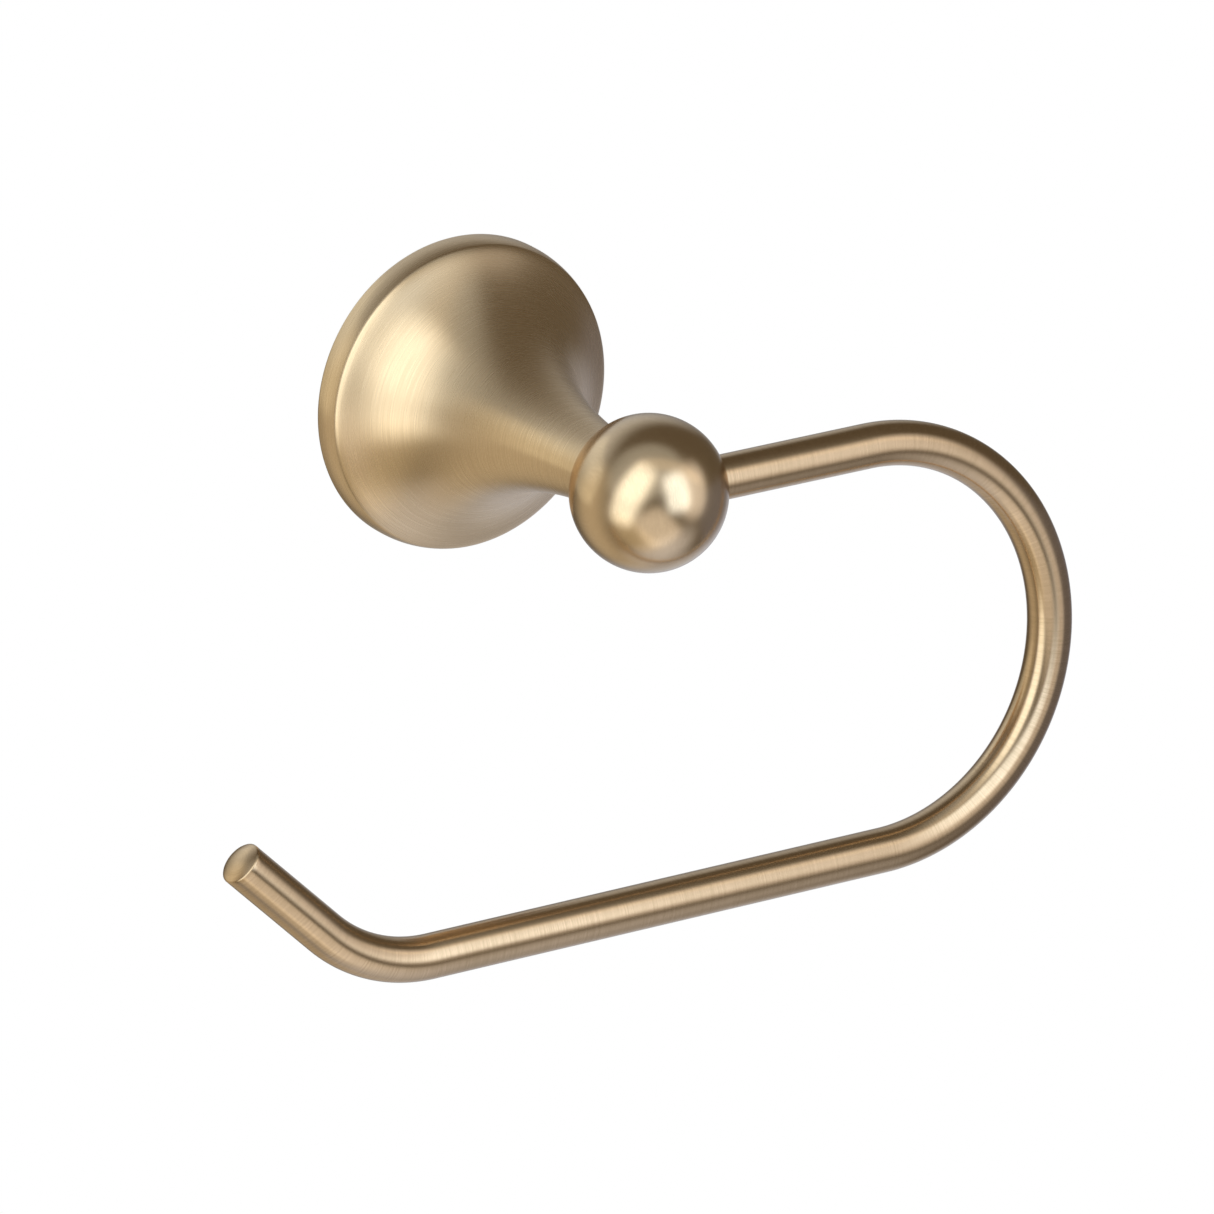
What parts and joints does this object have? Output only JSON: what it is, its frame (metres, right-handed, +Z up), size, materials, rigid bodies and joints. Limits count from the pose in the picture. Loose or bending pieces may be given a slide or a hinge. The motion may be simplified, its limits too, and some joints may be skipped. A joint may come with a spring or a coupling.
{
  "type": "toilet paper holder",
  "caption": "Wall-mounted toilet paper holder: a trumpet-shaped post with a ball end carries a bent round rod, open at one end, that the roll slides onto.",
  "frame": {"origin": "centre of the post's back face, on the wall", "axes": "-Y out from the wall, +X along the arm as it leaves the ball, +Z up"},
  "size_m": [0.2065, 0.092, 0.1265],
  "materials": {
    "brushed_brass": "brushed round the post, satin",
    "satin_brass": "satin",
    "brushed_rod": "brushed round the rod, satin",
    "zinc_steel": "zinc plated",
    "spring_steel": "dark phosphated",
    "black_steel": "black oxide",
    "plated_zinc": "zinc plated, cast texture"
  },
  "bodies": {
    "root": {"post_flange": "brushed_brass", "post_ball": "satin_brass", "hook_arm": "brushed_rod", "post_screw": "zinc_steel", "post_flat_washer": "zinc_steel", "post_lock_washer": "spring_steel", "arm_grub_screw": "black_steel", "flange_grub_screw": "black_steel", "wall_bracket": "plated_zinc"}
  },
  "joints": []
}
